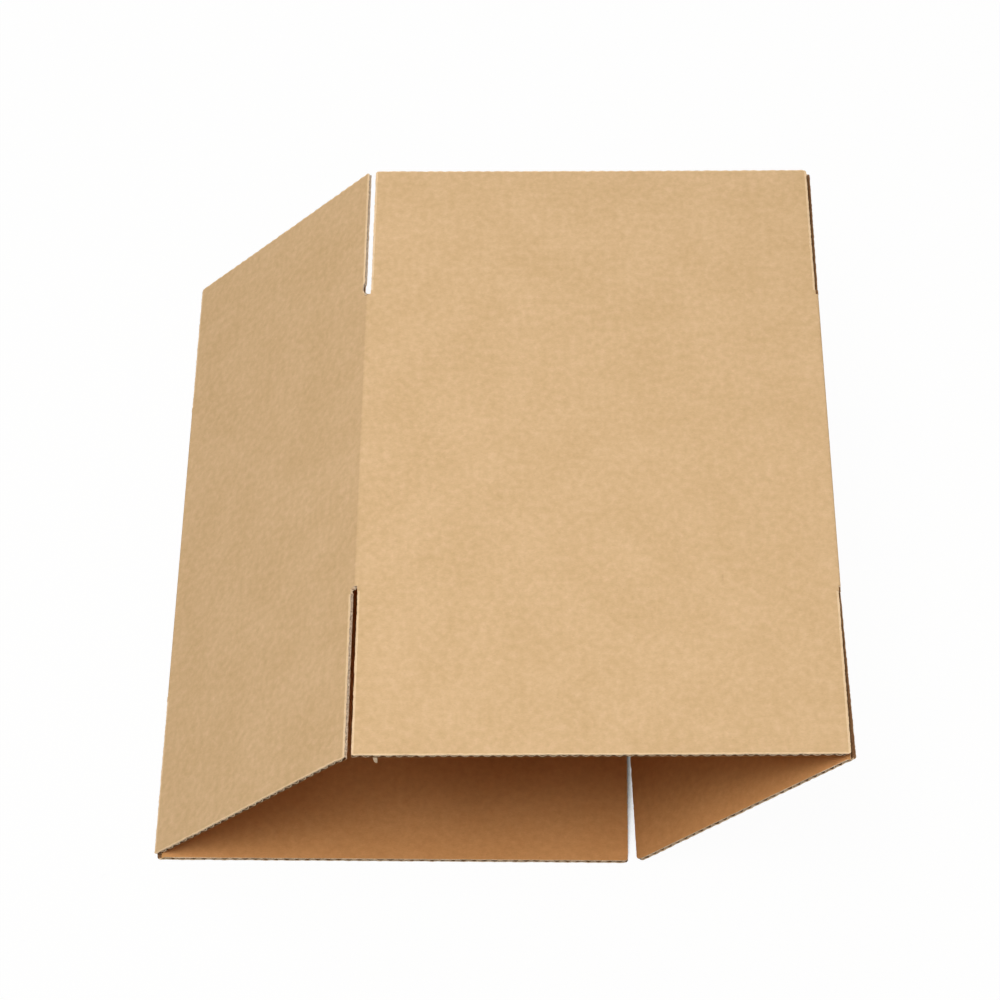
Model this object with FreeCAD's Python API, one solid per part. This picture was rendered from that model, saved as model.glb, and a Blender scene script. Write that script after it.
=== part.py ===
"""Slotted corrugated carton, shipped flat and pushed part of the way open.

The carton lies on one of its two large panels. Its four wall panels form a tube
that leans over as a parallelogram, and its eight end flaps lie open in line with
their panels. X runs along the large panels, Y through the tube, +Z is up. The
origin is the middle of the carton's footprint, at the height of the table.
"""
import FreeCAD, Part
import math
import os

# Driving dimensions of the carton, in millimetres, and its lean in degrees
large_panel_width = 300.0
side_panel_width = 181.0
wall_height = 240.0
near_flap_length = 121.0
far_flap_length = 111.0
board_thickness = 2.8
lean_angle = 44.5

# Folds, scores and slots
sharp_fold_radius = 1.8
blunt_fold_radius = 4.0
crease_size = 0.9
slot_past_score = 2.0
large_flap_blunt_inset = 2.0
side_flap_blunt_inset = 3.5
large_flap_sharp_inset = 3.0
side_flap_sharp_inset = 1.5
pinch_clearance = 0.3
table_clearance = 0.3
flap_corner_radius = 3.0

# Corrugation, seen in the flaps' free edges
flute_pitch = 6.5
liner_thickness = 0.45
medium_thickness = 0.5
flute_base_share = 0.72
crushed_edge = 3.0
crushed_score = 6.0

# Glued lap inside the tube
lap_width = 32.0
lap_setback = 8.0

# Lengths worked out from the dimensions above
lean = math.radians(lean_angle)
half_wall = wall_height / 2.0
tube_height = side_panel_width * math.sin(lean)
tube_offset = side_panel_width * math.cos(lean)
tube_width = large_panel_width + tube_offset
footprint_start = side_flap_sharp_inset * math.cos(lean)
right_flap_drop = side_flap_blunt_inset * math.sin(lean) - table_clearance
footprint_end = tube_width - side_flap_sharp_inset * math.cos(lean) + right_flap_drop * math.tan(lean)
footprint_shift = FreeCAD.Vector(0.0, (near_flap_length - far_flap_length) / 2.0, 0.0)


def corner(along, up):
    """Outer corner of the tube's cross-section, measured from its low left corner."""
    return FreeCAD.Vector(along - (footprint_start + footprint_end) / 2.0, 0.0, up)


LOW_LEFT = corner(0.0, 0.0)
LOW_RIGHT = corner(large_panel_width, 0.0)
HIGH_RIGHT = corner(tube_width, tube_height)
HIGH_LEFT = corner(tube_offset, tube_height)


class Panel:
    """One wall panel: its two folds, its outward normal and its slots' insets from them.

    At a sharp fold the board's slot edges are pinched between two panels, so they taper
    along the plane that halves the angle of the fold.
    """

    def __init__(self, start, end, outward, start_inset, end_inset, sharp_start):
        self.start = start
        self.width = (end - start).Length
        self.along = (end - start).normalize()
        self.outward = outward
        self.first = start_inset
        self.last = self.width - end_inset
        self.sharp_start = sharp_start

    def point(self, distance, depth, y):
        """Point at a distance along the panel and a depth below its outer face."""
        return self.start + self.along * distance - self.outward * depth + FreeCAD.Vector(0.0, y, 0.0)

    def prism(self, outline, y_low, y_high):
        """Solid along Y from (distance, depth) corners."""
        wire = Part.makePolygon([self.point(s, d, y_low) for s, d in outline + outline[:1]])
        return Part.Face(wire).extrude(FreeCAD.Vector(0.0, y_high - y_low, 0.0))

    def section(self):
        """Corners of the board between two slots: square at the blunt fold, tapered at the sharp one."""
        if self.sharp_start:
            edge = (self.first - pinch_clearance) * math.tan(lean / 2.0)
            taper = [(PINCHED_WIDTH, board_thickness), (self.first, edge)]
            return [(self.first, 0.0), (self.last, 0.0), (self.last, board_thickness)] + taper
        edge = (self.width - self.last - pinch_clearance) * math.tan(lean / 2.0)
        taper = [(self.last, edge), (self.width - PINCHED_WIDTH, board_thickness)]
        return [(self.first, 0.0), (self.last, 0.0)] + taper + [(self.first, board_thickness)]

    def full_thickness(self):
        """Where the board has its full thickness: the first and last distance."""
        if self.sharp_start:
            return PINCHED_WIDTH, self.last
        return self.first, self.width - PINCHED_WIDTH


PINCHED_WIDTH = board_thickness / math.tan(lean / 2.0) + pinch_clearance
UP = FreeCAD.Vector(0, 0, 1)
SLANT_OUTWARD = FreeCAD.Vector(math.sin(lean), 0.0, -math.cos(lean))
LARGE_INSETS = (large_flap_sharp_inset, large_flap_blunt_inset)
SIDE_INSETS = (side_flap_sharp_inset, side_flap_blunt_inset)
PANELS = {
    "bottom": Panel(LOW_LEFT, LOW_RIGHT, -UP, *LARGE_INSETS, True),
    "right": Panel(LOW_RIGHT, HIGH_RIGHT, SLANT_OUTWARD, *SIDE_INSETS[::-1], False),
    "top": Panel(HIGH_LEFT, HIGH_RIGHT, UP, *LARGE_INSETS[::-1], False),
    "left": Panel(LOW_LEFT, HIGH_LEFT, -SLANT_OUTWARD, *SIDE_INSETS, True),
}


def crease_groove(panel, y_score):
    """Notch pressed into the inner face along a score, to be cut from both sides of it."""
    depth = board_thickness
    corners = [
        panel.point(0.0, depth, y_score - crease_size),
        panel.point(0.0, depth, y_score + crease_size),
        panel.point(0.0, depth - crease_size, y_score),
    ]
    groove = Part.Face(Part.makePolygon(corners + corners[:1]))
    return groove.extrude(panel.along * panel.width)


def tube_wall():
    """The four walls between the slots, with rounded folds outside and sharp ones inside."""
    y_low = -half_wall + slot_past_score
    length = FreeCAD.Vector(0.0, wall_height - 2.0 * slot_past_score, 0.0)
    into_sharp = board_thickness / math.tan(lean / 2.0)
    into_blunt = board_thickness * math.tan(lean / 2.0)
    up = FreeCAD.Vector(0.0, 0.0, board_thickness)
    outer = [LOW_LEFT, LOW_RIGHT, HIGH_RIGHT, HIGH_LEFT]
    inner = [
        LOW_LEFT + FreeCAD.Vector(into_sharp, 0, 0) + up,
        LOW_RIGHT - FreeCAD.Vector(into_blunt, 0, 0) + up,
        HIGH_RIGHT - FreeCAD.Vector(into_sharp, 0, 0) - up,
        HIGH_LEFT + FreeCAD.Vector(into_blunt, 0, 0) - up,
    ]
    solids = []
    for ring in (outer, inner):
        wire = Part.makePolygon([p + FreeCAD.Vector(0.0, y_low, 0.0) for p in ring + ring[:1]])
        solids.append(Part.Face(wire).extrude(length))
    body = solids[0]
    for fold, radius in (
        (LOW_LEFT, sharp_fold_radius),
        (HIGH_RIGHT, sharp_fold_radius),
        (LOW_RIGHT, blunt_fold_radius),
        (HIGH_LEFT, blunt_fold_radius),
    ):
        body = body.makeFillet(radius, edges_along(body, fold))
    return body.cut(solids[1])


def edges_along(body, fold):
    """Edges of the body that run along Y through a corner of the cross-section."""
    found = []
    for edge in body.Edges:
        ends = [v.Point for v in edge.Vertexes]
        flat = [FreeCAD.Vector(p.x - fold.x, 0.0, p.z - fold.z) for p in ends]
        if all(p.Length < 1e-6 for p in flat):
            found.append(edge)
    return found


def score_strips(panel):
    """The strips of one panel that reach past the slots to its two scores."""
    strips = [
        panel.prism(panel.section(), -half_wall, -half_wall + slot_past_score),
        panel.prism(panel.section(), half_wall - slot_past_score, half_wall),
    ]
    return [strip.cut([crease_groove(panel, y) for y in (-half_wall, half_wall)]) for strip in strips]


def glued_lap():
    """Lap that turns up from the bottom panel and is glued inside the right panel."""
    glued_face = board_thickness
    inner_face = 2.0 * board_thickness
    glued_foot = (board_thickness - glued_face * math.cos(lean)) / math.sin(lean)
    inner_foot = (board_thickness - inner_face * math.cos(lean)) / math.sin(lean)
    outline = [
        (glued_foot, glued_face),
        (glued_foot + lap_width, glued_face),
        (glued_foot + lap_width, inner_face),
        (inner_foot, inner_face),
    ]
    return PANELS["right"].prism(outline, -half_wall + lap_setback, half_wall - lap_setback)


def build_sleeve():
    """The wall panels, their score strips and the lap, as the one folded piece they are."""
    strips = [strip for panel in PANELS.values() for strip in score_strips(panel)]
    return tube_wall().fuse(strips + [glued_lap()]).removeSplitter()


def flute_channels(panel, length):
    """Open channels between the liners and the medium, alternately on one and the other."""
    half_base = flute_pitch * flute_base_share / 2.0
    near_liner = liner_thickness
    far_liner = board_thickness - liner_thickness
    first, last = panel.full_thickness()
    first += crushed_edge + half_base
    last -= crushed_edge + half_base
    spaces = int((last - first) / (flute_pitch / 2.0))
    first += (last - first - spaces * flute_pitch / 2.0) / 2.0
    channels = []
    for count in range(spaces + 1):
        middle = first + count * flute_pitch / 2.0
        if count % 2:
            base, tip = near_liner, far_liner - medium_thickness
        else:
            base, tip = far_liner, near_liner + medium_thickness
        outline = [(middle - half_base, base), (middle + half_base, base), (middle, tip)]
        y_score = -half_wall - crushed_score
        channels.append(panel.prism(outline, -half_wall - length - 1.0, y_score))
    return channels


def flap_blank(panel, length):
    """Flat flap with rounded free corners, reaching from its score to its cut edge."""
    free_edge = -half_wall - length
    bend = free_edge + flap_corner_radius
    tuck = flap_corner_radius * (1.0 - math.sqrt(0.5))
    first_side = panel.first + flap_corner_radius
    last_side = panel.last - flap_corner_radius
    score_first = panel.point(panel.first, 0.0, -half_wall)
    bend_first = panel.point(panel.first, 0.0, bend)
    corner_first = panel.point(panel.first + tuck, 0.0, free_edge + tuck)
    edge_first = panel.point(first_side, 0.0, free_edge)
    edge_last = panel.point(last_side, 0.0, free_edge)
    corner_last = panel.point(panel.last - tuck, 0.0, free_edge + tuck)
    bend_last = panel.point(panel.last, 0.0, bend)
    score_last = panel.point(panel.last, 0.0, -half_wall)
    rim = [
        Part.LineSegment(score_first, bend_first),
        Part.Arc(bend_first, corner_first, edge_first),
        Part.LineSegment(edge_first, edge_last),
        Part.Arc(edge_last, corner_last, bend_last),
        Part.LineSegment(bend_last, score_last),
        Part.LineSegment(score_last, score_first),
    ]
    outline = Part.Face(Part.Wire([piece.toShape() for piece in rim]))
    plan = outline.extrude(panel.outward * -board_thickness)
    return plan.common(panel.prism(panel.section(), free_edge, -half_wall))


def rest_tilt(name, length):
    """Outward tilt at rest: a right flap hangs until its low corner nearly meets the table."""
    if name != "right":
        return 0.0
    return math.degrees(math.asin(right_flap_drop / (length * math.cos(lean))))


def build_flap(name, length):
    """A flap of one panel, at the near end, hinged on the outer face at the score."""
    panel = PANELS[name]
    flap = flap_blank(panel, length).cut(flute_channels(panel, length))
    flap = flap.cut(crease_groove(panel, -half_wall))
    hinge = panel.point(0.0, 0.0, -half_wall)
    hinge_axis = FreeCAD.Vector(0, -1, 0).cross(panel.outward)
    flap.rotate(hinge, hinge_axis, rest_tilt(name, length))
    return flap


def export(shape, node):
    """Write one node, one solid, moved so that the origin is the middle of the footprint."""
    solid = shape.Solids[0]
    solid.translate(footprint_shift)
    print(node, "solids", len(shape.Solids), "valid", solid.isValid(), "volume", round(solid.Volume))
    solid.exportStep("parts/" + node + ".step")


def main():
    os.makedirs("parts", exist_ok=True)
    export(build_sleeve(), "sleeve")
    middle = FreeCAD.Vector(0, 0, 0)
    through_tube = FreeCAD.Vector(0, 1, 0)
    for name in PANELS:
        export(build_flap(name, near_flap_length), name + "_flap_near")
        export(build_flap(name, far_flap_length).mirror(middle, through_tube), name + "_flap_far")


main()
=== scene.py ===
import math

import bmesh
import bpy
from mathutils import Matrix, Vector


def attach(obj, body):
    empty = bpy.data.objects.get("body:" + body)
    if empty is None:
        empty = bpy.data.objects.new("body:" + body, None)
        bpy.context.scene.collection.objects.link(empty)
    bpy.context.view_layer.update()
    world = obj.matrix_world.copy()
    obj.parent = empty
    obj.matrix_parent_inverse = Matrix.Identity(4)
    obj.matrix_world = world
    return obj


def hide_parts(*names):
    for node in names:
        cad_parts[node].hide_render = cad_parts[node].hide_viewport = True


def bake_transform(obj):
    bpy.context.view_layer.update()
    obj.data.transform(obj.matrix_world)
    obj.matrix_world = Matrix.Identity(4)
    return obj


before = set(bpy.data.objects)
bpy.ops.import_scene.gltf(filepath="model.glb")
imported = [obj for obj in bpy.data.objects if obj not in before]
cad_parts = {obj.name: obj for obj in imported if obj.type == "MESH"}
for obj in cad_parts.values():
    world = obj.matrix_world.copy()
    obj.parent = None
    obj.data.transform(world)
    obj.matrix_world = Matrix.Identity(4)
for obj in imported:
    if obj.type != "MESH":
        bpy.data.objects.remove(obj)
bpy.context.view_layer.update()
for name in ("Cube", "Light", "Camera"):
    if name in bpy.data.objects:
        bpy.data.objects.remove(bpy.data.objects[name])

# The carton as the CAD source has it, in millimetres
MM = 0.001
LARGE_WIDTH, SIDE_WIDTH, HALF_WALL = 300.0, 181.0, 120.0
FLAP_LENGTH = {"near": 121.0, "far": 111.0}
END_SIGN = {"near": -1.0, "far": 1.0}
BOARD = 2.8
LEAN = math.radians(44.5)
SHARP_RADIUS, BLUNT_RADIUS = 1.8, 4.0
SLOT_END = 118.0
PINCH_CLEARANCE, TABLE_CLEARANCE = 0.3, 0.3
CORNER_RADIUS = 3.0
LAP_WIDTH, LAP_SETBACK = 32.0, 8.0
LARGE_SHARP, LARGE_BLUNT = 3.0, 2.0
SIDE_SHARP, SIDE_BLUNT = 1.5, 3.5

# The board's own make-up, in millimetres: its flutes' pitch, its papers and how far the flutes show through
PITCH = 6.5
LINER, MEDIUM = 0.35, 0.35
TELEGRAPH = 0.05
# Where the board is pinched: the most of it that one liner takes up, and the thinnest it gets
LINER_SHARE = 0.45
THINNEST = 0.3

# At a cut edge: how far the liners dip between flutes, how uneven that is and how far in it goes
EDGE_DIP, DIP_UNEVEN, DIP_LENGTH, DIP_REACH, INNER_DIP = 0.32, 0.7, 8.0, 1.6, 0.3
# The burr that thickens the outer liner and the medium there, and the liner's raggedness
BURR, BURR_REACH, MEDIUM_BURR = 1.3, 0.8, 1.7
FINE_RAGGED, COARSE_RAGGED = 0.12, 0.15

# What the slotting knife presses in beside a square slot edge, and how wide the pressed strip is
KNIFE_PRESS, KNIFE_REACH = 0.22, 2.2
# The liner's last strip at a slot: its width and rows, how far it is bitten off and how far it is pressed in
FRINGE, FRINGE_ROWS = 1.6, 121
BITE, BITE_UNEVEN, BITE_LENGTH = 0.22, 0.2, 1.3
FRINGE_PRESS, PRESS_UNEVEN, PRESS_LENGTH = 0.12, 0.08, 2.1
# The torn medium in a slot edge: how far back it lies, how hollow it is, and its thickness
RECESS, HOLLOW, HOLLOW_UNEVEN, HOLLOW_LENGTH, TORN_SKIN = 0.35, 0.35, 0.45, 1.9, 0.3
MEDIUM_INSET = 1.6
# The torn notch: its depth, its ends, and how much deeper the medium is torn
NOTCH_DEPTH, NOTCH_ENDS, NOTCH_MEDIUM = 1.3, (123.0, 131.0), 2.2
# How far the inner liner is peeled back at a pinched edge
PEEL = 3.0

# Where the bending strip at a score ends, and the crease in it
STRIP_END, STRIP_STEP = 122.0, 0.25
CREASE_DEPTH, CREASE_HALF = 0.9, 1.8
SLOT_ROUNDING = 1.2
# The long folds: the swelling of the sharp ones, the radius inside, and the points round each
FOLD_SWELL, INNER_RADIUS, FOLD_STEPS = 1.5, 0.35, 8
# How far in a slanting side edge still moves the board beside it
SLANT_WIDTH = 25.0
LAP_SLANT, LAP_THINNING, LAP_THIN_REACH = 9.0, 1.1, 3.0
# The length over which the sag of a panel changes
BOW_LENGTH = 61.0

# Rows along the flutes, and those near a cut edge, as distances from it
ROW_STEP, WALL_STEP, EDGE_ZONE = 12.0, 14.0, 8.0
EDGE_ROWS = (6.0, 3.5, 2.0, 1.1, 0.5, 0.0)
# Columns across the flutes, and rows along a torn edge
COLUMN_STEP, MEDIUM_STEP, TORN_STEP = PITCH / 5.0, PITCH / 10.0, 0.9
# A distance from the cut edge at which the edge changes nothing
INLAND = 100.0

# How far the trimmed edge of a flap draws back, at distances along its panel
TRIMS = {
    ("top", "near"): ((0.0, 0.0), (300.0, 1.4)),
    ("top", "far"): ((0.0, 1.5), (300.0, 0.7)),
    ("left", "near"): ((0.0, 5.5), (165.0, 1.2), (178.0, 0.0)),
    ("bottom", "near"): ((0.0, 2.1), (300.0, 0.0)),
    ("bottom", "far"): ((0.0, 6.5), (300.0, 3.5)),
}
# How far along its panel a flap's side edge strays, at its score and at its free edge
STRAY = {
    ("right", "near", False): (-2.3, 0.5),
    ("right", "near", True): (-0.4, -0.4),
    ("right", "far", True): (0.0, -1.7),
    ("bottom", "near", True): (1.45, 0.0),
    ("top", "near", False): (-0.8, -0.7),
    ("top", "near", True): (0.4, 0.5),
    ("left", "near", True): (-0.7, -0.3),
}
# Rounding of a flap's corners at the start and end of its panel, where it isn't the usual one
CORNERS = {
    ("top", "near"): (1.2, 2.0),
    ("left", "near"): (2.0, 1.5),
    ("right", "near"): (5.0, 2.0),
}

half_bisector = math.tan(LEAN / 2.0)
tube_offset = SIDE_WIDTH * math.cos(LEAN)
tube_height = SIDE_WIDTH * math.sin(LEAN)
right_drop = SIDE_BLUNT * math.sin(LEAN) - TABLE_CLEARANCE
footprint_start = SIDE_SHARP * math.cos(LEAN)
footprint_end = LARGE_WIDTH + tube_offset - SIDE_SHARP * math.cos(LEAN) + right_drop * math.tan(LEAN)
middle_x = (footprint_start + footprint_end) / 2.0
shift_y = (FLAP_LENGTH["near"] - FLAP_LENGTH["far"]) / 2.0
PINCHED = BOARD / half_bisector + PINCH_CLEARANCE


def smooth(value):
    value = min(1.0, max(0.0, value))
    return value * value * (3.0 - 2.0 * value)


def jitter(number, seed):
    """A repeatable value from -1 to 1."""
    value = math.sin(number * 12.9898 + seed * 78.233) * 43758.5453
    return 2.0 * (value - math.floor(value)) - 1.0


class Panel:
    """One wall panel with its flaps: its cross-section runs from start along to its end."""

    def __init__(self, name, start, along, outward, width, insets, sharp_start, roll_start, roll_sign, sag):
        self.name = name
        self.start, self.along, self.outward = start, along, outward
        self.width = width
        self.first, self.last = insets[0], width - insets[1]
        self.sharp_start = sharp_start
        self.roll_start, self.roll_sign = roll_start, roll_sign
        self.sag = sag

    def side(self, end, last, reach):
        """Distance of a flap's side edge, where the cuts beside a slot stray or slant."""
        share = (reach - HALF_WALL) / FLAP_LENGTH[end]
        at_score, at_edge = STRAY.get((self.name, end, last), (0.0, 0.0))
        return (self.last if last else self.first) + at_score + (at_edge - at_score) * share

    def roll(self, distance):
        """Distance round the unrolled carton."""
        return self.roll_start + self.roll_sign * distance

    def phase(self, distance):
        return 2.0 * math.pi * self.roll(distance) / PITCH

    def tilt(self, end):
        if self.name != "right":
            return 0.0
        return math.asin(right_drop / (FLAP_LENGTH[end] * math.cos(LEAN)))

    def bow(self, distance, y):
        """How far the panel gives inwards between its folds."""
        across = math.sin(math.pi * min(1.0, max(0.0, distance / self.width)))
        along = 0.6 + 0.4 * math.sin(y / BOW_LENGTH + self.roll_start)
        return self.sag * across * along

    def place(self, distance, depth, reach, end):
        """Point at a distance along the panel, a depth under its face and a reach from the tube's middle."""
        turn = self.tilt(end) * smooth((reach - SLOT_END) / (STRIP_END - SLOT_END))
        sign = END_SIGN[end]
        depth = depth + self.bow(distance, sign * reach)
        out = (reach - HALF_WALL) * math.sin(turn) - depth * math.cos(turn)
        away = (reach - HALF_WALL) * math.cos(turn) + depth * math.sin(turn)
        x = self.start[0] + self.along[0] * distance + self.outward[0] * out
        z = self.start[1] + self.along[1] * distance + self.outward[1] * out
        return Vector(((x - middle_x) * MM, (sign * (HALF_WALL + away) + shift_y) * MM, z * MM))

    def thickness(self, distance):
        """Depth of the inner face: full, but pinched where the neighbour lies against it at a sharp fold."""
        from_sharp = distance if self.sharp_start else self.width - distance
        full = (from_sharp - PINCH_CLEARANCE) * half_bisector
        return min(BOARD, full)

    def crush(self, distance):
        """How far the slotting knife has pressed each face in, next to a square slot edge."""
        from_blunt = self.last - distance if self.sharp_start else distance - self.first
        return KNIFE_PRESS * max(0.0, 1.0 - from_blunt / KNIFE_REACH) ** 2


right_along = (math.cos(LEAN), math.sin(LEAN))
right_outward = (math.sin(LEAN), -math.cos(LEAN))
left_outward = (-math.sin(LEAN), math.cos(LEAN))
low_left, low_right = (0.0, 0.0), (LARGE_WIDTH, 0.0)
high_left, high_right = (tube_offset, tube_height), (tube_offset + LARGE_WIDTH, tube_height)
around = 2.0 * (LARGE_WIDTH + SIDE_WIDTH)
PANELS = {
    "bottom": Panel("bottom", low_left, (1.0, 0.0), (0.0, -1.0), LARGE_WIDTH, (LARGE_SHARP, LARGE_BLUNT),
                    True, 0.0, 1.0, 0.0),
    "right": Panel("right", low_right, right_along, right_outward, SIDE_WIDTH, (SIDE_BLUNT, SIDE_SHARP),
                   False, LARGE_WIDTH, 1.0, 0.3),
    "top": Panel("top", high_left, (1.0, 0.0), (0.0, 1.0), LARGE_WIDTH, (LARGE_BLUNT, LARGE_SHARP),
                 False, 2 * LARGE_WIDTH + SIDE_WIDTH, -1.0, 0.7),
    "left": Panel("left", low_left, right_along, left_outward, SIDE_WIDTH, (SIDE_SHARP, SIDE_BLUNT),
                  True, around, -1.0, 0.4),
}


# ---------------------------------------------------------------- materials

def linear(red, green, blue):
    """Linear colour from the 0 to 255 values of a screen colour."""
    return tuple(((c / 255.0 + 0.055) / 1.055) ** 2.4 for c in (red, green, blue)) + (1.0,)


class Nodes:
    """Short calls for one material's node tree."""

    def __init__(self, name):
        self.material = bpy.data.materials.new(name)
        self.material.use_nodes = True
        self.tree = self.material.node_tree
        self.shader = self.tree.nodes["Principled BSDF"]

    def add(self, kind, inputs=(), **settings):
        node = self.tree.nodes.new(kind)
        for key, value in settings.items():
            setattr(node, key, value)
        for key, value in dict(inputs).items():
            if isinstance(value, bpy.types.NodeSocket):
                self.tree.links.new(value, node.inputs[key])
            else:
                node.inputs[key].default_value = value
        return node

    def link(self, source, socket):
        self.tree.links.new(source, self.shader.inputs[socket])

    def scaled(self, coordinates, scale):
        return self.add("ShaderNodeMapping", {"Vector": coordinates, "Scale": scale}).outputs["Vector"]

    def noise(self, coordinates, scale, detail=3.0, roughness=0.55):
        node = self.add("ShaderNodeTexNoise", {"Vector": coordinates, "Scale": scale, "Detail": detail,
                                               "Roughness": roughness})
        return node.outputs["Fac"]

    def ramp(self, fac, stops):
        node = self.add("ShaderNodeValToRGB", {"Fac": fac})
        band = node.color_ramp
        while len(band.elements) < len(stops):
            band.elements.new(0.5)
        for element, (place, colour) in zip(band.elements, stops):
            element.position = place
            element.color = colour if len(colour) == 4 else tuple(colour) + (1.0,)
        return node.outputs["Color"]

    def mix(self, first, second, fac, blend="MIX"):
        node = self.add("ShaderNodeMix", data_type="RGBA", blend_type=blend)
        for index, value in ((0, fac), (6, first), (7, second)):
            if isinstance(value, bpy.types.NodeSocket):
                self.tree.links.new(value, node.inputs[index])
            else:
                node.inputs[index].default_value = value
        return node.outputs[2]

    def math(self, operation, first, second=0.0):
        node = self.add("ShaderNodeMath", operation=operation)
        for index, value in enumerate((first, second)):
            if isinstance(value, bpy.types.NodeSocket):
                self.tree.links.new(value, node.inputs[index])
            else:
                node.inputs[index].default_value = value
        return node.outputs[0]

    def bump(self, height, strength, distance):
        node = self.add("ShaderNodeBump", {"Height": height, "Strength": strength, "Distance": distance})
        self.link(node.outputs["Normal"], "Normal")


def kraft_face(name, light, mid, dark, fleck):
    """Kraft liner: cloudy patches, fibres across the flutes and sparse flecks."""
    n = Nodes(name)
    flat = n.add("ShaderNodeUVMap", uv_map="unrolled").outputs["UV"]
    clouds = n.noise(flat, 26.0, 2.0)
    patches = n.noise(flat, 210.0, 4.0, 0.6)
    fibres = n.noise(n.scaled(flat, (520.0, 1500.0, 1.0)), 1.0, 3.0, 0.6)
    tone = n.ramp(patches, [(0.25, dark), (0.5, mid), (0.75, light)])
    tone = n.mix(tone, n.ramp(clouds, [(0.35, dark), (0.65, light)]), 0.22)
    tone = n.mix(tone, n.ramp(fibres, [(0.3, (0.86, 0.85, 0.83)), (0.7, (1.1, 1.1, 1.1))]), 0.35, "MULTIPLY")
    specks = n.noise(n.scaled(flat, (900.0, 1800.0, 1.0)), 1.0, 1.0)
    tone = n.mix(tone, fleck, n.ramp(specks, [(0.7, (0, 0, 0)), (0.8, (0.55, 0.55, 0.55))]))
    n.link(tone, "Base Color")
    n.link(n.ramp(patches, [(0.3, (0.8,) * 3), (0.7, (0.92,) * 3)]), "Roughness")
    n.shader.inputs["Specular IOR Level"].default_value = 0.22
    n.bump(n.math("ADD", fibres, patches), 0.35, 0.00012)
    return n.material


def cut_paper(name, light, dark, scale):
    """Cut or torn paper, seen on edge."""
    n = Nodes(name)
    place = n.add("ShaderNodeTexCoord").outputs["Object"]
    fibres = n.noise(place, scale, 4.0, 0.65)
    n.link(n.ramp(fibres, [(0.32, dark), (0.62, light)]), "Base Color")
    n.link(n.ramp(fibres, [(0.3, (0.85,) * 3), (0.7, (0.97,) * 3)]), "Roughness")
    n.shader.inputs["Specular IOR Level"].default_value = 0.15
    n.bump(fibres, 0.5, 0.0002)
    return n.material


outer_kraft = kraft_face("kraft_outer_liner", linear(229, 193, 150), linear(218, 182, 136),
                         linear(207, 171, 124), linear(168, 128, 88))
inner_kraft = kraft_face("kraft_inner_liner", linear(221, 163, 105), linear(212, 154, 96),
                         linear(202, 144, 87), linear(160, 108, 66))
# Lighter kraft painted along the outer liner's cut and slot edges: a painted highlight.
edge_highlight_kraft = kraft_face("kraft_pressed_rim", linear(246, 216, 176), linear(238, 205, 162),
                       linear(226, 192, 148), linear(190, 150, 110))
edge_paper = cut_paper("cut_edge", linear(240, 219, 190), linear(214, 182, 144), 900.0)
# The fluted medium's brown, made darker to stand in for shade: painted shade in the flute channels, on faces
# bared where the inner liner is peeled back, and as a dark rim under the top and left flaps' edges.
fluting_and_shade_paper = cut_paper("fluting", linear(142, 104, 70), linear(108, 74, 46), 700.0)
torn_paper = cut_paper("torn_medium", linear(226, 208, 184), linear(126, 92, 64), 1100.0)
BOARD_MATERIALS = (outer_kraft, inner_kraft, edge_paper, fluting_and_shade_paper, torn_paper, edge_highlight_kraft)
OUTER, INNER, EDGE, FLUTING_SHADE, TORN, HIGHLIGHT_RIM = range(6)


# ---------------------------------------------------------------- meshes

def between(stops, place):
    """Value at a place on a broken line of (place, value) stops."""
    for (a, low), (b, high) in zip(stops, stops[1:]):
        if place <= b:
            return low + (high - low) * max(0.0, place - a) / (b - a)
    return stops[-1][1]


def rough(place, seed):
    """Smooth repeatable noise from -1 to 1 that changes over about one unit."""
    step = math.floor(place)
    share = smooth(place - step)
    return jitter(step, seed) * (1.0 - share) + jitter(step + 1.0, seed) * share


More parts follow.
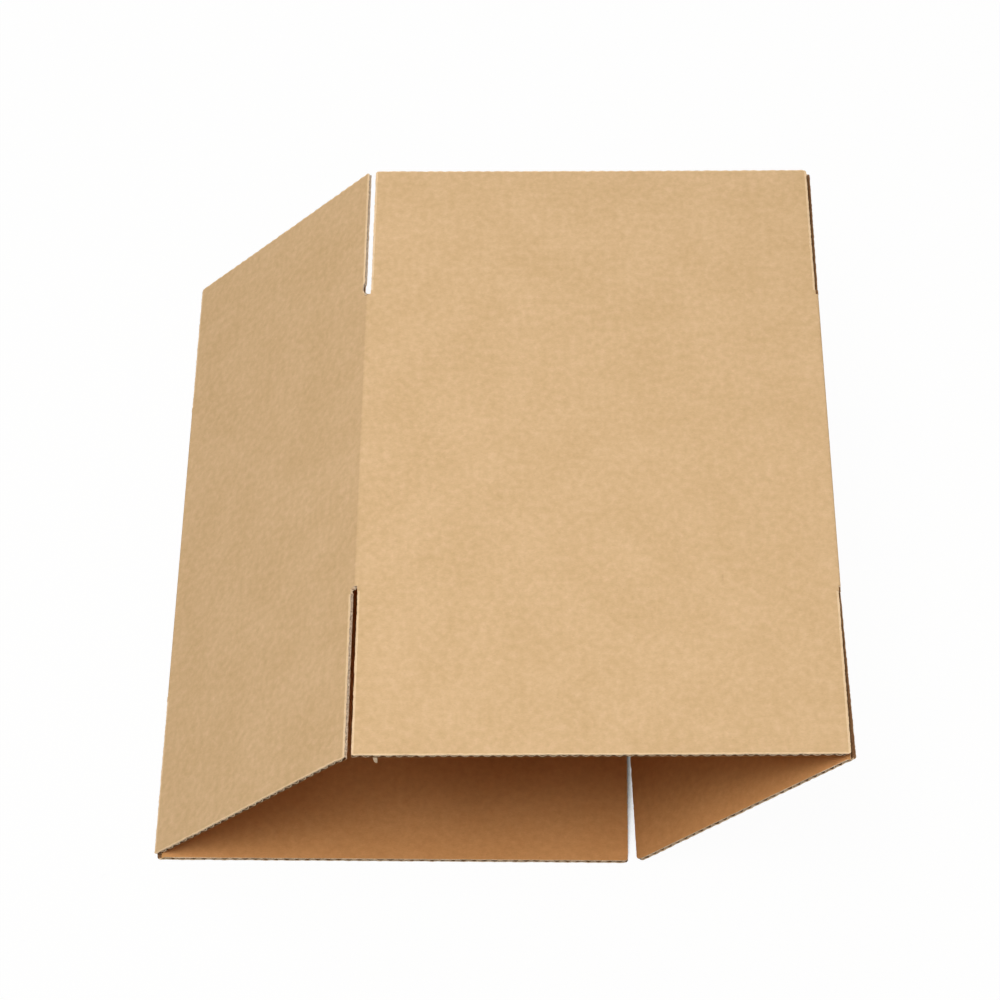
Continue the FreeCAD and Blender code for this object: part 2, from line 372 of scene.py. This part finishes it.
class Shells:
    """Collects closed sheets of board into one mesh with unrolled coordinates."""

    def __init__(self, name):
        self.name = name
        self.points, self.rolls, self.faces, self.kinds = [], [], [], []

    def sheet(self, columns, kinds=(OUTER, INNER, EDGE), closed=False, rim_rows=0):
        """A closed sheet, from columns of (outer point, inner point, unrolled place).

        The kinds are those of the outer face, the inner face, the edges and, at the end, the last rim rows.
        """
        count, rows = len(columns), len(columns[0])
        base = len(self.points)
        for side in (0, 1):
            for column in columns:
                self.points.extend(row[side] for row in column)
                self.rolls.extend((row[2][0] * MM + 2.0 * side, row[2][1] * MM) for row in column)

        def at(side, i, j):
            return base + (side * count + i % count) * rows + j

        spans = count if closed else count - 1
        for i in range(spans):
            for j in range(rows - 1):
                for side in (0, 1):
                    kind = kinds[-1] if j >= rows - 1 - rim_rows else kinds[side]
                    self.face(kind, at(side, i, j), at(side, i + 1, j), at(side, i + 1, j + 1),
                              at(side, i, j + 1))
            for j in (0, rows - 1):
                self.face(kinds[2], at(0, i, j), at(0, i + 1, j), at(1, i + 1, j), at(1, i, j))
        if not closed:
            for i in (0, count - 1):
                for j in range(rows - 1):
                    self.face(kinds[2], at(0, i, j), at(0, i, j + 1), at(1, i, j + 1), at(1, i, j))

    def face(self, kind, *corners):
        self.faces.append(corners)
        self.kinds.append(kind)

    def build(self, crease_angle=38.0):
        """The finished object, with smooth faces that meet sharply at edges steeper than an angle."""
        mesh = bpy.data.meshes.new(self.name)
        mesh.from_pydata(self.points, [], self.faces)
        mesh.polygons.foreach_set("material_index", self.kinds)
        layer = mesh.uv_layers.new(name="unrolled")
        corners = [0] * len(mesh.loops)
        mesh.loops.foreach_get("vertex_index", corners)
        flat = []
        for corner in corners:
            flat.extend(self.rolls[corner])
        layer.data.foreach_set("uv", flat)
        work = bmesh.new()
        work.from_mesh(mesh)
        bmesh.ops.recalc_face_normals(work, faces=work.faces)
        work.to_mesh(mesh)
        work.free()
        for material in BOARD_MATERIALS:
            mesh.materials.append(material)
        mesh.shade_smooth()
        mesh.set_sharp_from_angle(angle=math.radians(crease_angle))
        piece = bpy.data.objects.new(self.name, mesh)
        bpy.context.scene.collection.objects.link(piece)
        return piece


def spaced(low, high, step):
    """Values from low to high, about a step apart."""
    count = max(1, round((high - low) / step))
    return [low + (high - low) * i / count for i in range(count + 1)]


def flap_columns(panel, end, first, last):
    """Distances of a flap's columns: close together at its two rounded corners."""
    turns = []
    for radius in CORNERS.get((panel.name, end), (CORNER_RADIUS, CORNER_RADIUS)):
        turns.append([radius * (1.0 - math.cos(math.pi / 2.0 * i / 6.0)) for i in range(7)])
    inside = spaced(panel.first + turns[0][-1] + 0.8, panel.last - turns[1][-1] - 0.8, COLUMN_STEP)
    columns = [panel.first + t for t in turns[0]] + inside + [panel.last - t for t in reversed(turns[1])]
    return [first] + [d for d in columns if first < d < last] + [last]


def free_edge(panel, end, distance):
    """Reach of the flap's cut edge, which draws back at the rounded corners."""
    reach = HALF_WALL + FLAP_LENGTH[end]
    reach -= between(TRIMS.get((panel.name, end), ((0.0, 0.0), (300.0, 0.0))), distance)
    radii = CORNERS.get((panel.name, end), (CORNER_RADIUS, CORNER_RADIUS))
    for radius, from_side in zip(radii, (distance - panel.first, panel.last - distance)):
        if from_side < radius:
            gap = radius - max(0.0, from_side)
            reach -= radius - math.sqrt(max(0.0, radius ** 2 - gap ** 2))
    return reach


def liner_faces(panel, distance, from_edge):
    """Depths of the outer and the inner face of the board, with the flutes showing through."""
    wave = math.cos(panel.phase(distance))
    uneven = 1.0 + DIP_UNEVEN * rough(distance / DIP_LENGTH, 41.0)
    dip = EDGE_DIP * uneven * math.exp(-from_edge / DIP_REACH)
    crush = panel.crush(distance)
    low = (TELEGRAPH + dip) * (0.5 - 0.5 * wave) + crush
    high = panel.thickness(distance) - (TELEGRAPH + INNER_DIP * dip) * (0.5 + 0.5 * wave) - crush
    return low, max(high, low + THINNEST)


def slid(panel, end, distance, reach):
    """Distance moved in with a slanting side edge, only near that edge."""
    low = panel.side(end, False, reach) - panel.first
    high = panel.side(end, True, reach) - panel.last
    return (distance + low * max(0.0, 1.0 - (distance - panel.first) / SLANT_WIDTH)
            + high * max(0.0, 1.0 - (panel.last - distance) / SLANT_WIDTH))


def layers(panel, end, distance, reach, depths, ragged=0.0):
    """The outer and inner point of a flap's sheet at two depths, and their unrolled place."""
    here = slid(panel, end, distance, reach)
    outer, inner = (panel.place(here, depth, reach - ragged, end) for depth in depths)
    return outer, inner, (panel.roll(distance), END_SIGN[end] * reach)


def notch(panel, end, last, reach):
    """Depth of the torn notch beside the far slot, in the left flap's high edge."""
    if (panel.name, end, last) != ("left", "far", True):
        return 0.0
    return NOTCH_DEPTH * smooth((reach - NOTCH_ENDS[0]) / 1.5) * smooth((NOTCH_ENDS[1] - reach) / 2.0)


def flap(panel, end):
    """A flap as it is made: two liners with the fluted medium between them and ragged slot edges."""
    shells = Shells(f"{panel.name}_flap_{end}_board")
    peeled = (panel.first + (PEEL if panel.sharp_start else 0.0),
              panel.last - (0.0 if panel.sharp_start else PEEL))

    def liner(first, last, inner_side, seed, kinds):
        """One liner between two distances along the panel, with a ragged cut edge."""
        columns = []
        for number, distance in enumerate(flap_columns(panel, end, first, last)):
            edge = free_edge(panel, end, distance)
            column = []
            for reach in spaced(STRIP_END, edge - EDGE_ZONE, ROW_STEP) + [edge - gap for gap in EDGE_ROWS]:
                low, high = liner_faces(panel, distance, edge - reach)
                thick = min(LINER, LINER_SHARE * (high - low))
                if not inner_side:
                    thick *= 1.0 + BURR * math.exp(-(edge - reach) / BURR_REACH)
                ragged = 0.0
                if reach == edge:
                    ragged = FINE_RAGGED * abs(jitter(number, seed))
                    ragged += COARSE_RAGGED * (1.0 + rough(number / 4.0, seed + 1.0))
                depths = (high - thick, high) if inner_side else (low, low + thick)
                column.append(layers(panel, end, distance, reach, depths, ragged))
            columns.append(column)
        shells.sheet(columns, kinds, rim_rows=1 if inner_side else 2)

    def fringe(last, inner_side, seed):
        """The liner's last strip at a slot: a ragged edge that the knife has pressed down."""
        columns = []
        sharp = panel.sharp_start != last
        edge_at = panel.last if last else panel.first
        if inner_side and sharp:
            edge_at += -PEEL if last else PEEL
        sense = -1.0 if last else 1.0
        for share in (0.0, 0.35, 0.7, 1.0):
            column = []
            top = free_edge(panel, end, edge_at + sense * (FRINGE * (1.0 - share) + 0.3))
            for row in range(FRINGE_ROWS):
                reach = STRIP_END + (top - 0.2 - STRIP_END) * row / (FRINGE_ROWS - 1.0)
                bite = BITE + BITE_UNEVEN * rough(reach / BITE_LENGTH, seed) + notch(panel, end, last, reach)
                distance = edge_at + sense * (FRINGE * (1.0 - share) + bite * share)
                low, high = liner_faces(panel, distance, INLAND)
                thick = min(LINER, LINER_SHARE * (high - low))
                press = share * (FRINGE_PRESS + PRESS_UNEVEN * rough(reach / PRESS_LENGTH, seed + 2.0))
                if inner_side:
                    depths = (high - thick - press, high - press)
                else:
                    depths = (low + press, low + press + thick)
                column.append(layers(panel, end, distance, reach, depths))
            columns.append(column)
        # The outer strip's face takes the lighter rim colour, a painted highlight along the slot edge.
        shells.sheet(columns, (FLUTING_SHADE, INNER, EDGE) if inner_side else (HIGHLIGHT_RIM, FLUTING_SHADE, EDGE))

    def slot_face(last, seed):
        """The crushed and torn medium that closes the board at a square slot edge."""
        edge_at, sense = (panel.last, -1.0) if last else (panel.first, 1.0)
        columns = []
        top = free_edge(panel, end, edge_at + sense * 1.5) - 1.0
        for share in (0.0, 0.25, 0.5, 0.75, 1.0):
            column = []
            for reach in spaced(STRIP_END, top, TORN_STEP):
                hollow = math.sin(math.pi * share)
                torn = rough(reach / HOLLOW_LENGTH + share * 3.0, seed)
                recess = RECESS + hollow * (HOLLOW + HOLLOW_UNEVEN * torn)
                recess += NOTCH_MEDIUM * notch(panel, end, last, reach)
                distance = edge_at + sense * recess
                low, high = liner_faces(panel, distance, INLAND)
                depth = low + LINER * 0.8 + (high - low - 1.6 * LINER) * share
                behind = distance + sense * TORN_SKIN
                column.append((panel.place(slid(panel, end, distance, reach), depth, reach, end),
                               panel.place(slid(panel, end, behind, reach), depth, reach, end),
                               (panel.roll(distance), END_SIGN[end] * reach)))
            columns.append(column)
        shells.sheet(columns, (TORN, FLUTING_SHADE, TORN))

    # The outer liner's last rim rows take the lighter rim colour, a painted highlight along its cut edge. Its
    # back face, bared where the inner liner is peeled back, is painted shade in the fluting colour.
    liner(panel.first + FRINGE, panel.last - FRINGE, False, 3.0, (OUTER, FLUTING_SHADE, EDGE, HIGHLIGHT_RIM))
    # On the top and left flaps the inner liner's rim and cut face take the dark fluting colour, a painted
    # dark line of shade under their edges. The other flaps keep the cut-edge colour.
    shaded = FLUTING_SHADE if panel.name in ("top", "left") else EDGE
    liner(peeled[0] + FRINGE, peeled[1] - FRINGE, True, 5.0, (FLUTING_SHADE, INNER, shaded))
    for last in (False, True):
        fringe(last, False, 11.0 + last)
        fringe(last, True, 15.0 + last)
        if panel.sharp_start == last:
            slot_face(last, 19.0)

    first = PINCHED if panel.sharp_start else panel.first + MEDIUM_INSET
    last = panel.last - MEDIUM_INSET if panel.sharp_start else panel.width - PINCHED
    columns = []
    for number, distance in enumerate(spaced(first, last, MEDIUM_STEP)):
        edge = free_edge(panel, end, distance) - 0.1 - 0.2 * abs(jitter(number // 3, 7.0))
        column = []
        for reach in (STRIP_END, (STRIP_END + edge) / 2.0, edge - 5.0, edge - 0.8, edge):
            low, high = liner_faces(panel, distance, edge - reach)
            centre = (low + high) / 2.0
            swing = (high - low - 2.0 * LINER - MEDIUM) / 2.0
            depth = centre - swing * math.cos(panel.phase(distance))
            slope = 2.0 * math.pi / PITCH * swing * math.sin(panel.phase(distance))
            half = MEDIUM / 2.0 * math.sqrt(1.0 + slope * slope) * (MEDIUM_BURR if reach == edge else 1.0)
            column.append(layers(panel, end, distance, reach, (depth - half, depth + half)))
        columns.append(column)
    shells.sheet(columns, (FLUTING_SHADE, FLUTING_SHADE, EDGE))
    piece = shells.build()
    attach(piece, f"{panel.name}_flap_{end}")
    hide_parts(f"{panel.name}_flap_{end}")


def shred():
    """A torn scrap of liner that hangs under the top flap's near edge."""
    panel = PANELS["top"]
    at, top_width, hang = 15.6, 2.4, 7.0
    furthest = HALF_WALL + FLAP_LENGTH["near"] - 0.1
    shells = Shells("top_flap_near_shred")
    columns = []
    for number in range(6):
        column = []
        for row in range(9):
            share = row / 8.0
            width = top_width * (1.0 - 0.45 * share ** 2) + 0.25 * rough(row * 0.9, 31.0)
            distance = at + 0.6 * share + width * (number / 5.0 - 0.5)
            depth = BOARD - 0.3 + hang * share + 0.35 * math.sin(number * 1.3 + row * 0.5)
            reach = free_edge(panel, "near", distance) - 0.5 + 1.6 * math.sin(share * 2.2) - 1.4 * share
            held = min(furthest, reach)
            column.append((panel.place(distance, depth, held, "near"),
                           panel.place(distance, depth, held - 0.25, "near"),
                           (panel.roll(distance), -reach)))
        columns.append(column)
    shells.sheet(columns, (EDGE, TORN, EDGE))
    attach(shells.build(crease_angle=60.0), "top_flap_near")


def score(panel, end):
    """The crushed strip at a flap's score."""
    shells = Shells(f"{panel.name}_score_{end}")
    peel = panel.first + PEEL if panel.sharp_start else panel.last - PEEL
    for first, last in ((panel.first, peel), (peel, panel.last)):
        columns = []
        for distance in flap_columns(panel, end, first, last):
            column = []
            for reach in spaced(SLOT_END, STRIP_END, STRIP_STEP):
                low, high = liner_faces(panel, distance, INLAND)
                press = CREASE_DEPTH * smooth(1.0 - abs(reach - HALF_WALL) / CREASE_HALF)
                depths = (low, max(low + THINNEST, high - press))
                column.append(layers(panel, end, distance, reach, depths))
            columns.append(column)
        # Where the inner liner is peeled back, the strip's inner face takes the dark fluting colour: painted
        # shade.
        peeled = (first == peel) != panel.sharp_start
        shells.sheet(columns, (OUTER, FLUTING_SHADE, EDGE) if peeled else (OUTER, INNER, EDGE))
    piece = shells.build()
    hinge = panel.place(panel.width / 2.0, 0.0, HALF_WALL, end)
    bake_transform(piece)


def fold_arc(corner, arriving, leaving, radius):
    """Points round a rounded corner, and how far its tangent points lie from the corner."""
    a, b = Vector(arriving), Vector(leaving)
    turn = a.angle(b)
    tangent = radius * math.tan(turn / 2.0)
    start = Vector(corner) - a * tangent
    bisector = (b - a).normalized()
    centre = Vector(corner) + bisector * (radius / math.cos(turn / 2.0))
    spoke = start - centre
    sense = 1.0 if a.x * b.y - a.y * b.x > 0 else -1.0
    points = []
    for i in range(FOLD_STEPS + 1):
        angle = sense * turn * i / FOLD_STEPS
        cosine, sine = math.cos(angle), math.sin(angle)
        points.append((centre.x + spoke.x * cosine - spoke.y * sine,
                       centre.y + spoke.x * sine + spoke.y * cosine))
    return points, tangent


def slot_rounding(roll):
    """How far the rounded end of a slot reaches up beside its middle, at a place round the unrolled tube."""
    folds = ((0.0, SIDE_SHARP, LARGE_SHARP), (LARGE_WIDTH, LARGE_BLUNT, SIDE_BLUNT),
             (LARGE_WIDTH + SIDE_WIDTH, SIDE_SHARP, LARGE_SHARP),
             (2 * LARGE_WIDTH + SIDE_WIDTH, LARGE_BLUNT, SIDE_BLUNT), (around, SIDE_SHARP, LARGE_SHARP))
    for fold, before, after in folds:
        middle, half = fold + (after - before) / 2.0, (after + before) / 2.0
        share = (roll - middle) / half
        if abs(share) < 1.0:
            return SLOT_ROUNDING * (1.0 - math.sqrt(1.0 - share * share))
    return 0.0


def sleeve():
    """The four walls, as one sheet round the tube, and the glued lap."""
    shells = Shells("sleeve_board")
    columns = []
    rows = spaced(-1.0, 1.0, WALL_STEP / SLOT_END)
    loop = [("bottom", False, low_right, BLUNT_RADIUS), ("right", False, high_right, SHARP_RADIUS),
            ("top", True, high_left, BLUNT_RADIUS), ("left", True, low_left, SHARP_RADIUS)]
    sharp_flat, blunt_flat = PINCHED + 0.3, 1.9
    for index, (name, backwards, corner, radius) in enumerate(loop):
        panel = PANELS[name]
        low_end, high_end = (sharp_flat, blunt_flat) if panel.sharp_start else (blunt_flat, sharp_flat)
        distances = spaced(low_end, panel.width - high_end, COLUMN_STEP)
        if backwards:
            distances = distances[::-1]
        for distance in distances:
            low, high = liner_faces(panel, distance, INLAND)
            low, high = low - panel.crush(distance), high + panel.crush(distance)
            reach = SLOT_END + slot_rounding(panel.roll(distance))
            columns.append([(panel.place(distance, low, reach * row, "far"),
                             panel.place(distance, high, reach * row, "far"),
                             (panel.roll(distance), reach * row)) for row in rows])
        following = PANELS[loop[(index + 1) % 4][0]]
        arriving = Vector(panel.along) * (-1.0 if backwards else 1.0)
        leaving = Vector(following.along) * (-1.0 if loop[(index + 1) % 4][1] else 1.0)
        arc, tangent = fold_arc(corner, arriving, leaving, radius)
        outward = -(leaving - arriving).normalized()
        if radius == SHARP_RADIUS:
            swell = [FOLD_SWELL * math.sin(math.pi * i / FOLD_STEPS) for i in range(FOLD_STEPS + 1)]
            arc = [(x + outward.x * more, min(tube_height, max(0.0, z + outward.y * more)))
                   for (x, z), more in zip(arc, swell)]
        interior = (math.pi - arriving.angle(leaving)) / 2.0
        tip = Vector(corner) - outward * (BOARD / math.sin(interior))
        bend = fold_arc(tip, arriving, leaving, INNER_RADIUS)[0]
        here = panel.roll(0.0 if backwards else panel.width)
        for i, pair in enumerate(zip(arc, bend)):
            along = here + tangent * (2.0 * i / FOLD_STEPS - 1.0)
            reach = SLOT_END + slot_rounding(along)
            column = []
            for row in rows:
                y = (reach * row + shift_y) * MM
                over, under = (Vector(((x - middle_x) * MM, y, z * MM)) for x, z in pair)
                column.append((over, under, (along, reach * row)))
            columns.append(column)
    shells.sheet(columns, closed=True)

    panel = PANELS["right"]
    foot = (BOARD - BOARD * math.cos(LEAN)) / math.sin(LEAN)
    lap_rows = round(2.0 * HALF_WALL / WALL_STEP)
    columns = []
    for distance in spaced(foot + 0.6, foot + LAP_WIDTH, COLUMN_STEP):
        slant = LAP_SLANT * (distance - foot) / LAP_WIDTH
        edge = HALF_WALL - LAP_SETBACK - slant
        marks = spaced(-edge, edge, 2.0 * edge / lap_rows)
        wave = math.cos(panel.phase(distance))
        thin = LAP_THINNING * max(0.0, 1.0 - (foot + LAP_WIDTH - distance) / LAP_THIN_REACH) ** 2
        inner_depth = 2.0 * BOARD - TELEGRAPH * (0.5 + 0.5 * wave) - thin
        columns.append([(panel.place(distance, BOARD - 0.05, y, "far"),
                         panel.place(distance, inner_depth, y, "far"),
                         (panel.roll(distance) + 400.0, y)) for y in marks])
    shells.sheet(columns)
    piece = shells.build()
    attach(piece, "sleeve")
    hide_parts("sleeve")


sleeve()
for panel in PANELS.values():
    for end in END_SIGN:
        flap(panel, end)
        score(panel, end)
shred()


# ---------------------------------------------------------------- camera, floor and lights

CAMERA_PLACE = (0.019207, -1.178215, 1.635638)
CAMERA_LENS = 107.942
yaw, pitch, roll = math.radians(-0.86064), math.radians(53.14482), math.radians(-0.69855)

camera_data = bpy.data.cameras.new("camera")
camera_data.sensor_width = 36.0
camera_data.lens = CAMERA_LENS
camera_data.clip_end = 50.0
camera = bpy.data.objects.new("camera", camera_data)
bpy.context.scene.collection.objects.link(camera)
forward = Vector((math.sin(yaw) * math.cos(pitch), math.cos(yaw) * math.cos(pitch), -math.sin(pitch)))
level = Vector((math.cos(yaw), -math.sin(yaw), 0.0))
upright = level.cross(forward)
right = level * math.cos(roll) + upright * math.sin(roll)
up = upright * math.cos(roll) - level * math.sin(roll)
camera.matrix_world = Matrix((
    (right.x, up.x, -forward.x, CAMERA_PLACE[0]),
    (right.y, up.y, -forward.y, CAMERA_PLACE[1]),
    (right.z, up.z, -forward.z, CAMERA_PLACE[2]),
    (0.0, 0.0, 0.0, 1.0),
))
bpy.context.scene.camera = camera


def white_to_camera(tree, shaded, share):
    """A mix that shows the camera and mirror rays a share of its second shader, and other light the first."""
    path = tree.nodes.new("ShaderNodeLightPath")
    seen = tree.nodes.new("ShaderNodeMath")
    seen.operation = "MAXIMUM"
    tree.links.new(path.outputs["Is Camera Ray"], seen.inputs[0])
    tree.links.new(path.outputs["Is Glossy Ray"], seen.inputs[1])
    clear = tree.nodes.new("ShaderNodeMath")
    clear.operation = "MAXIMUM"
    tree.links.new(seen.outputs[0], clear.inputs[0])
    tree.links.new(path.outputs["Is Transmission Ray"], clear.inputs[1])
    part = tree.nodes.new("ShaderNodeMath")
    part.operation = "MULTIPLY"
    part.inputs[1].default_value = share
    tree.links.new(clear.outputs[0], part.inputs[0])
    mix = tree.nodes.new("ShaderNodeMixShader")
    tree.links.new(part.outputs[0], mix.inputs["Fac"])
    tree.links.new(shaded, mix.inputs[1])
    return mix


floor_mesh = bpy.data.meshes.new("floor")
floor_mesh.from_pydata([(-6, -6, 0), (6, -6, 0), (6, 6, 0), (-6, 6, 0)], [], [(0, 1, 2, 3)])
floor = bpy.data.objects.new("floor", floor_mesh)
floor.location.z = -0.0003
bpy.context.scene.collection.objects.link(floor)
floor_nodes = Nodes("floor")
floor_nodes.shader.inputs["Base Color"].default_value = (0.88, 0.84, 0.76, 1.0)
floor_nodes.shader.inputs["Roughness"].default_value = 0.9
floor_nodes.shader.inputs["Specular IOR Level"].default_value = 0.0
# To the camera the floor glows white, darkened by ambient occlusion near the board: a painted shadow under
# and beside the carton and in the gaps between its flaps.
nearness = floor_nodes.add("ShaderNodeAmbientOcclusion", {"Distance": 0.26}, samples=32)
SHADES = [
    (0.11, (0.05, 0.047, 0.04)),
    (0.155, (0.14, 0.135, 0.125)),
    (0.2, (0.4, 0.395, 0.38)),
    (0.26, (0.85,) * 3),
    (0.34, (1.0,) * 3),
]
shade = floor_nodes.ramp(nearness.outputs["AO"], SHADES)
painted_shadow_glow = floor_nodes.add("ShaderNodeEmission", {"Color": shade, "Strength": 1.0})
floor_mix = white_to_camera(floor_nodes.tree, floor_nodes.shader.outputs["BSDF"], 0.97)
floor_nodes.tree.links.new(painted_shadow_glow.outputs["Emission"], floor_mix.inputs[2])
floor_output = floor_nodes.tree.nodes["Material Output"]
floor_nodes.tree.links.new(floor_mix.outputs["Shader"], floor_output.inputs["Surface"])
floor_mesh.materials.append(floor_nodes.material)

world = bpy.data.worlds.new("studio")
bpy.context.scene.world = world
world.use_nodes = True
soft = world.node_tree.nodes["Background"]
soft.inputs["Color"].default_value = (1.0, 1.0, 1.0, 1.0)
soft.inputs["Strength"].default_value = 0.04
white = world.node_tree.nodes.new("ShaderNodeBackground")
white.inputs["Strength"].default_value = 1.0
white.inputs["Color"].default_value = (1.0, 1.0, 1.0, 1.0)
world_mix = white_to_camera(world.node_tree, soft.outputs["Background"], 1.0)
world.node_tree.links.new(white.outputs["Background"], world_mix.inputs[2])
world_output = world.node_tree.nodes["World Output"]
world.node_tree.links.new(world_mix.outputs["Shader"], world_output.inputs["Surface"])


def softbox(name, place, size, power):
    """A square lamp that looks at the middle of the floor and isn't seen itself."""
    data = bpy.data.lights.new(name, "AREA")
    data.shape = "SQUARE"
    data.size = size
    data.energy = power
    lamp = bpy.data.objects.new(name, data)
    lamp.location = place
    lamp.rotation_euler = (-Vector(place)).to_track_quat("-Z", "Y").to_euler()
    lamp.visible_camera = False
    bpy.context.scene.collection.objects.link(lamp)


softbox("key", (-0.22, -0.45, 2.1), 1.4, 33.8)
softbox("back", (-0.6, 1.55, 1.65), 1.2, 13.4)
softbox("front", (0.6, -1.25, 1.95), 1.0, 6.4)

bpy.context.scene.view_settings.view_transform = "Standard"
